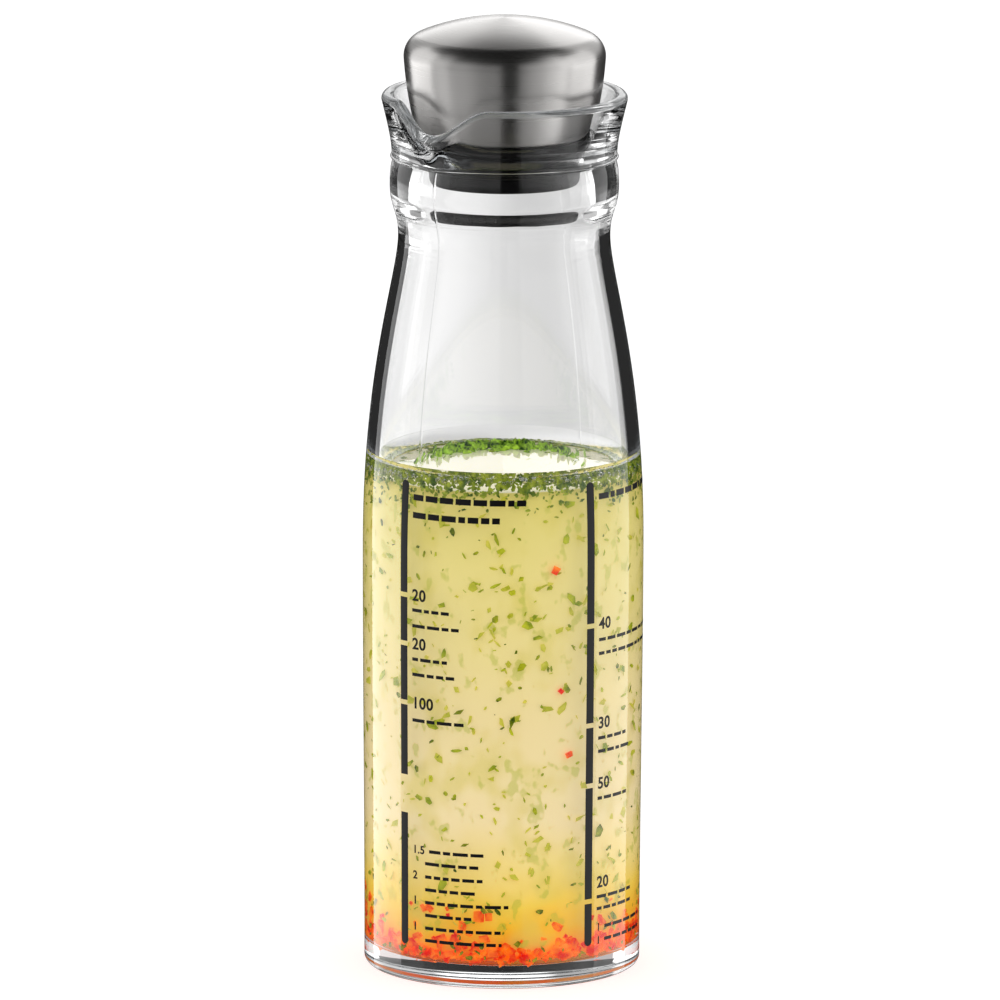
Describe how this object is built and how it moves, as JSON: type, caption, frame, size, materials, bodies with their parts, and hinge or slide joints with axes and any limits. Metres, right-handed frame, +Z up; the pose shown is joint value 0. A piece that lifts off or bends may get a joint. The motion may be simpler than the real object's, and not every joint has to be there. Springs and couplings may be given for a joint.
{
  "type": "salad dressing shaker bottle",
  "caption": "Tall clear glass bottle with a waisted neck and flared collar with a pouring lip, closed by a domed brushed steel push-in stopper with a black lipped seal.",
  "frame": {"origin": "centre of the ring that the bottle stands on, in the plane of the table", "axes": "+Z up along the bottle's axis; -Y towards the picture's viewer; the pouring lip points to -X-Y, 37.5 degrees left of the viewer"},
  "size_m": [0.058, 0.058, 0.1983],
  "materials": {
    "clear_glass": "clear soda-lime glass, fire polished",
    "brushed_steel": "brushed round the axis, satin",
    "black_plastic": "moulded, semi-gloss",
    "black_silicone": "moulded silicone, satin"
  },
  "bodies": {
    "glass_body": {"bottle": "clear_glass"},
    "stopper": {"cap_shell": "brushed_steel", "stopper_core": "black_plastic", "stopper_seal": "black_silicone"}
  },
  "joints": [
    {"name": "stopper_lift", "type": "slide", "parent": "glass_body", "child": "stopper", "axis": [0, 0, 1], "range_m": [0, 0.06]}
  ]
}
